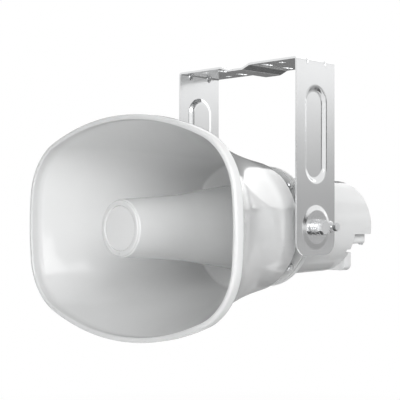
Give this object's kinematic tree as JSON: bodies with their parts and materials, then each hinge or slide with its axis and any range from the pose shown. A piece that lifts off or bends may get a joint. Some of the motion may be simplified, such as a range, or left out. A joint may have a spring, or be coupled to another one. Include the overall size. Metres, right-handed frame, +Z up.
{
  "type": "pa horn speaker",
  "caption": "Reentrant public-address horn with a flared rectangular mouth, a centre reflector, a rear driver can with cable gland, and a tilting U bracket.",
  "frame": {"origin": "centre of the bracket plate's top face, in the middle of its four round holes", "axes": "+Z up, out of the top plate; the mouth faces -Y and the cable gland +Y; +X along the tilt axis, to the right seen from behind the mouth"},
  "size_m": [0.2876, 0.326, 0.27],
  "materials": {
    "white_plastic": "glossy white moulding",
    "disc_plastic": "fine matt grey-white disc, bare",
    "bracket_steel": "satin stainless sheet with fine grain along its length",
    "ring_metal": "die casting, painted white",
    "bright_steel": "bright stainless steel",
    "screw_steel": "zinc plated",
    "seal_rubber": "soft black rubber",
    "insert_brass": "knurled insert",
    "tab_metal": "tinned solder tab",
    "gland_plastic": "light grey nylon",
    "cap_plastic": "black glass-filled moulding",
    "film": "amber film",
    "coil_copper": "copper winding",
    "plate_steel": "zinc plated sheet",
    "ferrite": "sintered ferrite",
    "strip_board": "brown phenolic",
    "core_iron": "stacked laminations",
    "winding_tape": "wound copper under yellow tape",
    "lead_sleeve": "red sleeve"
  },
  "bodies": {
    "bracket": {"mounting_bracket": "bracket_steel", "lock_nut_left": "bright_steel", "lock_nut_right": "bright_steel", "lock_screw_left": "bright_steel", "lock_screw_right": "bright_steel", "lock_washer_left": "bright_steel", "lock_washer_right": "bright_steel"},
    "horn": {"chassis_plate": "plate_steel", "chassis_screws": "screw_steel", "cover_screws": "screw_steel", "diaphragm_ring": "cap_plastic", "driver_cap": "cap_plastic", "driver_leads": "lead_sleeve", "driver_mount_screws": "screw_steel", "driver_screws": "screw_steel", "driver_tabs": "tab_metal", "driver_terminal_strip": "strip_board", "flange_gasket": "seal_rubber", "flange_screws": "screw_steel", "gland_body": "gland_plastic", "gland_locknut": "gland_plastic", "gland_nut": "gland_plastic", "gland_seal": "seal_rubber", "horn_bell": "white_plastic", "housing_screws": "screw_steel", "junction_box": "white_plastic", "junction_screws": "screw_steel", "junction_seal": "seal_rubber", "line_leads": "lead_sleeve", "magnet": "ferrite", "phase_plug": "cap_plastic", "pivot_bolt_left": "bright_steel", "pivot_bolt_right": "bright_steel", "pivot_insert_left": "insert_brass", "pivot_insert_right": "insert_brass", "pivot_ring": "ring_metal", "pivot_spring_washer_left": "bright_steel", "pivot_spring_washer_right": "bright_steel", "pivot_washer_left": "bright_steel", "pivot_washer_right": "bright_steel", "rear_housing": "white_plastic", "reflector": "white_plastic", "reflector_disc": "disc_plastic", "reflector_ring": "white_plastic", "service_cover": "white_plastic", "terminal_block": "strip_board", "terminal_screws": "screw_steel", "throat_gasket": "seal_rubber", "tone_arm": "white_plastic", "top_plate": "plate_steel", "transformer_core": "core_iron", "transformer_screws": "screw_steel", "transformer_strap": "plate_steel", "transformer_winding": "winding_tape", "yoke": "plate_steel"},
    "diaphragm": {"diaphragm": "film", "voice_coil": "coil_copper"}
  },
  "joints": [
    {"name": "horn_tilt", "type": "hinge", "parent": "bracket", "child": "horn", "pos_m": [0, 0, -0.166], "axis": [1, 0, 0], "range_deg": [-30, 75]},
    {"name": "diaphragm_travel", "type": "slide", "parent": "horn", "child": "diaphragm", "axis": [0, 1, 0], "range_m": [-0.0005, 0.0005], "stiffness_N_per_m": 2000}
  ]
}
